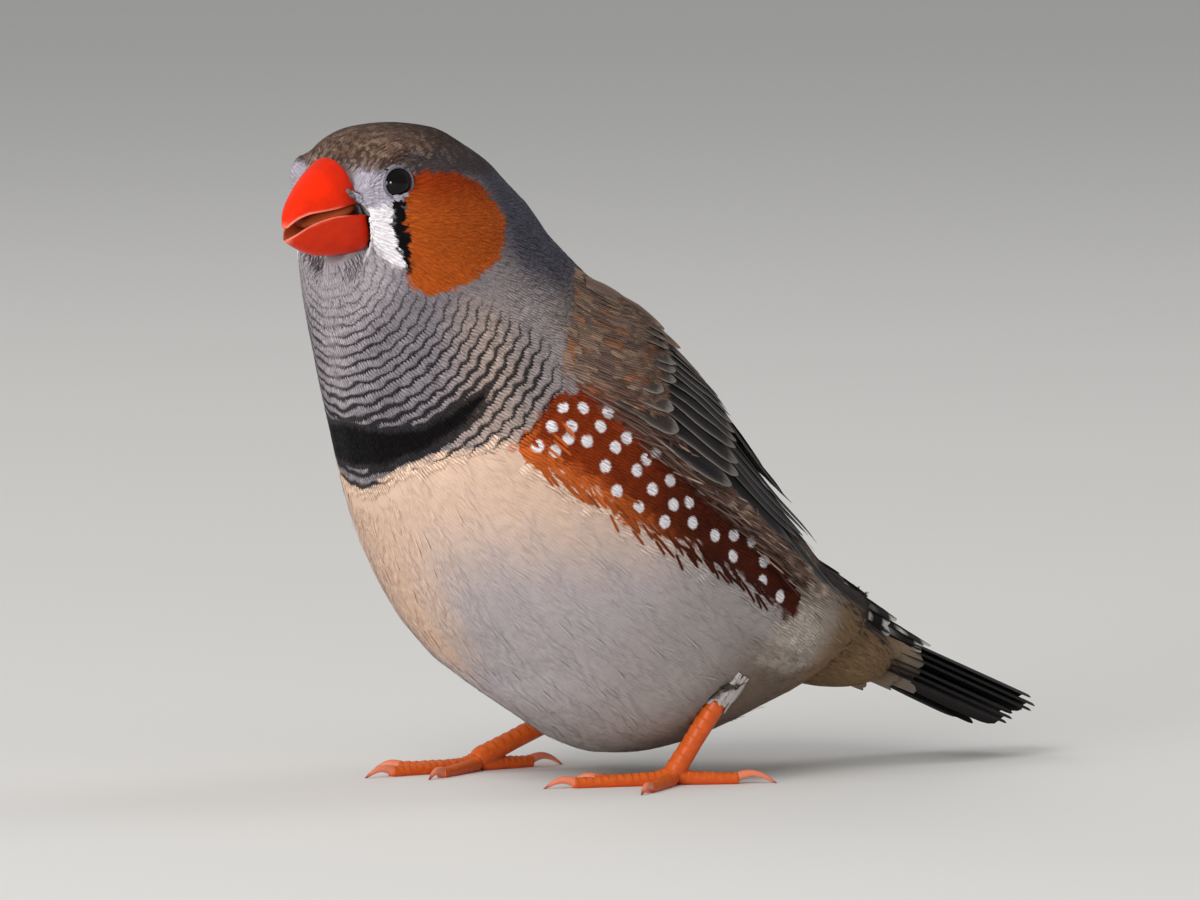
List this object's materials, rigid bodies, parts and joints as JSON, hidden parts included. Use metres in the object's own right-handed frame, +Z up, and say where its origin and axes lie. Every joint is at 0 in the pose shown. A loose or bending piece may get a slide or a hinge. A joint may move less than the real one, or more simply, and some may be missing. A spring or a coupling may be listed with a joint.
{
  "type": "zebra finch",
  "caption": "Still, life-size zebra finch standing on both feet with its head turned, plumage in tiers of feathers, for a shelf or a natural history display.",
  "frame": {"origin": "on the floor, under the middle of the bounding box", "axes": "+Z up, head end towards -Y, tail towards +Y, the bird's left side towards +X"},
  "size_m": [0.039, 0.0932, 0.07],
  "materials": {
    "plumage_grey": "soft grey feathers",
    "plumage_pale": "soft cream and grey-white feathers",
    "plumage_dark": "dark grey-brown wing and tail feathers",
    "bill": "waxy orange-red horn",
    "eye": "wet black",
    "leg": "satin orange scales",
    "claw": "pinkish-orange horn"
  },
  "bodies": {
    "root": {"bill_lower": "bill", "bill_upper": "bill", "claw_hallux_left": "claw", "claw_hallux_right": "claw", "claw_inner_left": "claw", "claw_inner_right": "claw", "claw_middle_left": "claw", "claw_middle_right": "claw", "claw_outer_left": "claw", "claw_outer_right": "claw", "eye_left": "eye", "eye_right": "eye", "foot_left": "leg", "foot_right": "leg", "head": "plumage_grey", "neck": "plumage_grey", "rump": "plumage_pale", "tail": "plumage_dark", "tarsus_left": "leg", "tarsus_right": "leg", "thigh_left": "plumage_pale", "thigh_right": "plumage_pale", "torso": "plumage_pale", "wing_left": "plumage_dark", "wing_right": "plumage_dark"}
  },
  "joints": []
}
